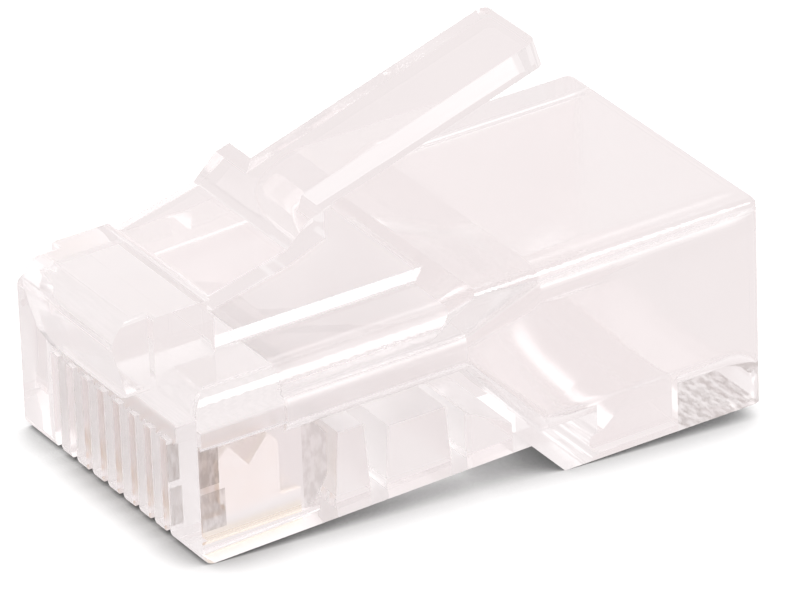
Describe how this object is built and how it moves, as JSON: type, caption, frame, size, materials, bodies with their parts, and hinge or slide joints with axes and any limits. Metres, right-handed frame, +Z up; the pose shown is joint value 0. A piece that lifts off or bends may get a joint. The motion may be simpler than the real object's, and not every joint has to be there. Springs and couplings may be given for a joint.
{
  "type": "rj45 modular plug",
  "caption": "Clear modular plug before crimping, with a sprung latch lever, gold contact blades in a slotted nose and a rear cable entry with a strain-relief bar.",
  "frame": {"origin": "middle of the footprint, level with the underside of the rear block", "axes": "+Y from the nose to the cable entry, +Z up towards the latch, +X across the width"},
  "size_m": [0.0116, 0.024, 0.0141],
  "materials": {
    "clear_polycarbonate": "clear moulded polycarbonate, polished, very faint warm tint",
    "gold_plating": "gold plating over phosphor bronze, bright stamped faces"
  },
  "bodies": {
    "housing": {"housing": "clear_polycarbonate"},
    "latch": {"latch_lever": "clear_polycarbonate"},
    "strain_relief": {"strain_relief_bar": "clear_polycarbonate"},
    "contact_1": {"contact_1": "gold_plating"},
    "contact_2": {"contact_2": "gold_plating"},
    "contact_3": {"contact_3": "gold_plating"},
    "contact_4": {"contact_4": "gold_plating"},
    "contact_5": {"contact_5": "gold_plating"},
    "contact_6": {"contact_6": "gold_plating"},
    "contact_7": {"contact_7": "gold_plating"},
    "contact_8": {"contact_8": "gold_plating"}
  },
  "joints": [
    {"name": "latch_press", "type": "hinge", "parent": "housing", "child": "latch", "pos_m": [0, -0.00815, 0.00915], "axis": [-1, 0, 0], "range_deg": [0, 17], "stiffness_Nm_per_rad": 0.05},
    {"name": "strain_relief_press", "type": "hinge", "parent": "housing", "child": "strain_relief", "pos_m": [0, 0.0054, 0.00042], "axis": [1, 0, 0], "range_deg": [0, 15]},
    {"name": "crimp_1", "type": "slide", "parent": "housing", "child": "contact_1", "axis": [0, 0, 1], "range_m": [0, 0.00055]},
    {"name": "crimp_2", "type": "slide", "parent": "housing", "child": "contact_2", "axis": [0, 0, 1], "range_m": [0, 0.00055]},
    {"name": "crimp_3", "type": "slide", "parent": "housing", "child": "contact_3", "axis": [0, 0, 1], "range_m": [0, 0.00055]},
    {"name": "crimp_4", "type": "slide", "parent": "housing", "child": "contact_4", "axis": [0, 0, 1], "range_m": [0, 0.00055]},
    {"name": "crimp_5", "type": "slide", "parent": "housing", "child": "contact_5", "axis": [0, 0, 1], "range_m": [0, 0.00055]},
    {"name": "crimp_6", "type": "slide", "parent": "housing", "child": "contact_6", "axis": [0, 0, 1], "range_m": [0, 0.00055]},
    {"name": "crimp_7", "type": "slide", "parent": "housing", "child": "contact_7", "axis": [0, 0, 1], "range_m": [0, 0.00055]},
    {"name": "crimp_8", "type": "slide", "parent": "housing", "child": "contact_8", "axis": [0, 0, 1], "range_m": [0, 0.00055]}
  ]
}
